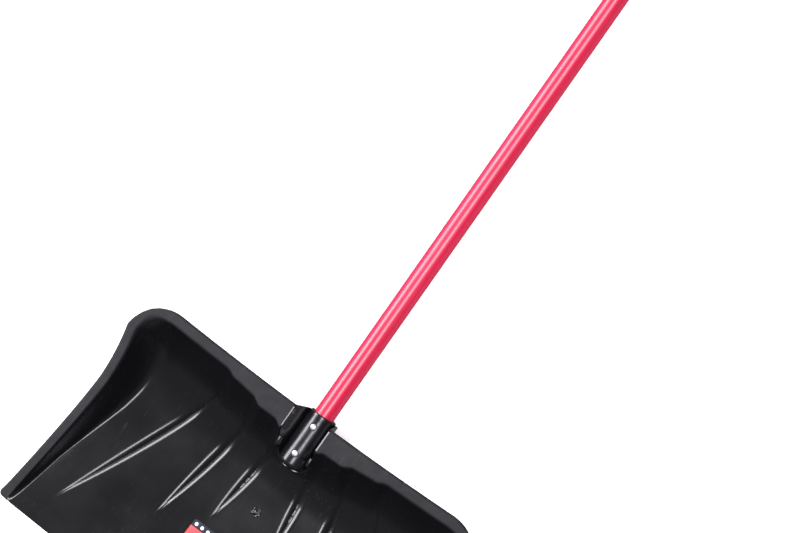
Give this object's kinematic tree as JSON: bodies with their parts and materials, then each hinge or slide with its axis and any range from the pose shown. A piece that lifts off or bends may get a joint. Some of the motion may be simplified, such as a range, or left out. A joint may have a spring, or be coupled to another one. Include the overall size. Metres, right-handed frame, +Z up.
{
  "type": "snow shovel",
  "caption": "Wide black moulded scoop with flat rim, fanned flutes and a slotted socket, on a straight red round shaft with a D-shaped hand grip.",
  "frame": {"origin": "on the floor under the middle of the shovel's overall box, with the shovel lying on its back", "axes": "+Y along the shaft from the blade toward the hand grip, +X across the blade, +Z up out of the open face of the scoop"},
  "size_m": [0.5764, 1.2921, 0.0813],
  "materials": {
    "blade_plastic": "moulded polyethylene with a semi-gloss skin",
    "label_print": "printed vinyl film",
    "red_gelcoat": "red glass-fibre tube with a glossy surface",
    "core_wood": "bare hardwood dowel",
    "grip_plastic": "moulded polypropylene with a fine texture",
    "zinc_steel": "bright zinc plate"
  },
  "bodies": {
    "root": {"blade": "blade_plastic", "blade_label": "label_print", "shaft": "red_gelcoat", "lower_core": "core_wood", "upper_core": "core_wood", "d_grip": "grip_plastic", "socket_bolts": "zinc_steel", "socket_washers": "zinc_steel", "socket_nuts": "zinc_steel", "grip_bolt": "zinc_steel", "grip_washer": "zinc_steel", "grip_nut": "zinc_steel"}
  },
  "joints": []
}
